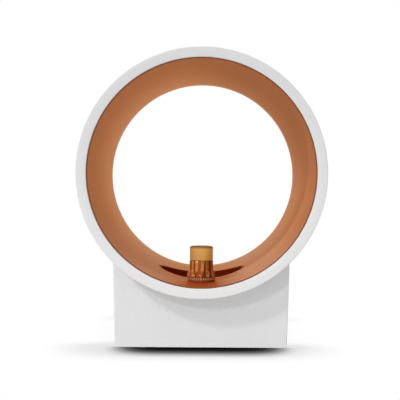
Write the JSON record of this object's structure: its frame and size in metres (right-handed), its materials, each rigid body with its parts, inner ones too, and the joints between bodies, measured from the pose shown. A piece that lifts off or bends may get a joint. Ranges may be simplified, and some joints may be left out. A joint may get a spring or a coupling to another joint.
{
  "type": "cylindrical wall light",
  "caption": "White wall light: an open copper-lined tube on a tapered wall box, with a bi-pin lampholder in a fluted metal cover.",
  "frame": {"origin": "middle of the wall box's open face, on the wall plane", "axes": "+Z away from the wall, +Y along the tube towards the end away from the lampholder, +X to the right when looking along +Y"},
  "size_m": [0.2, 0.25, 0.241],
  "materials": {
    "white_coat": "matt white, finely textured",
    "copper_coat": "satin copper, finely speckled",
    "dark_bronze": "dark polished bronze",
    "polished_copper": "polished",
    "satin_brass": "satin",
    "ceramic": "unglazed ceramic",
    "brass": "turned",
    "plated_steel": "zinc plated",
    "block_plastic": "moulded",
    "grommet_rubber": "moulded",
    "packing_fibre": "pressed fibre",
    "live_sleeve": "silicone",
    "neutral_sleeve": "silicone",
    "earth_sleeve": "silicone, striped"
  },
  "bodies": {
    "lamp": {"tube_shell": "white_coat", "wall_box": "white_coat", "copper_lining": "copper_coat", "saddle_screw_1": "plated_steel", "saddle_screw_2": "plated_steel", "saddle_screw_3": "plated_steel", "saddle_screw_4": "plated_steel", "packing": "packing_fibre", "base_ring": "dark_bronze", "lamp_sleeve": "satin_brass", "ceramic_core": "ceramic", "contact_left": "brass", "contact_right": "brass", "carrier_plate": "plated_steel", "nipple": "brass", "earth_tag": "brass", "lock_washer": "plated_steel", "nipple_nut": "brass", "wall_bracket": "plated_steel", "cable_grommet": "grommet_rubber", "side_screw_left": "plated_steel", "side_screw_right": "plated_steel", "side_nut_left": "plated_steel", "side_nut_right": "plated_steel", "terminal_block": "block_plastic", "terminal_ferrule_1": "brass", "terminal_ferrule_2": "brass", "terminal_ferrule_3": "brass", "terminal_screw_1": "plated_steel", "terminal_screw_2": "plated_steel", "terminal_screw_3": "plated_steel", "terminal_screw_4": "plated_steel", "terminal_screw_5": "plated_steel", "terminal_screw_6": "plated_steel", "block_screw_1": "plated_steel", "block_screw_2": "plated_steel", "earth_ring_terminal": "brass", "earth_screw": "brass", "lead_live": "live_sleeve", "lead_neutral": "neutral_sleeve", "lead_earth_holder": "earth_sleeve", "lead_earth_bracket": "earth_sleeve"},
    "grip_collar": {"fluted_collar": "polished_copper"}
  },
  "joints": [
    {"name": "collar_turn", "type": "hinge", "parent": "lamp", "child": "grip_collar", "pos_m": [0, -0.072, 0.0617], "axis": [0, 0, 1], "continuous": true}
  ]
}
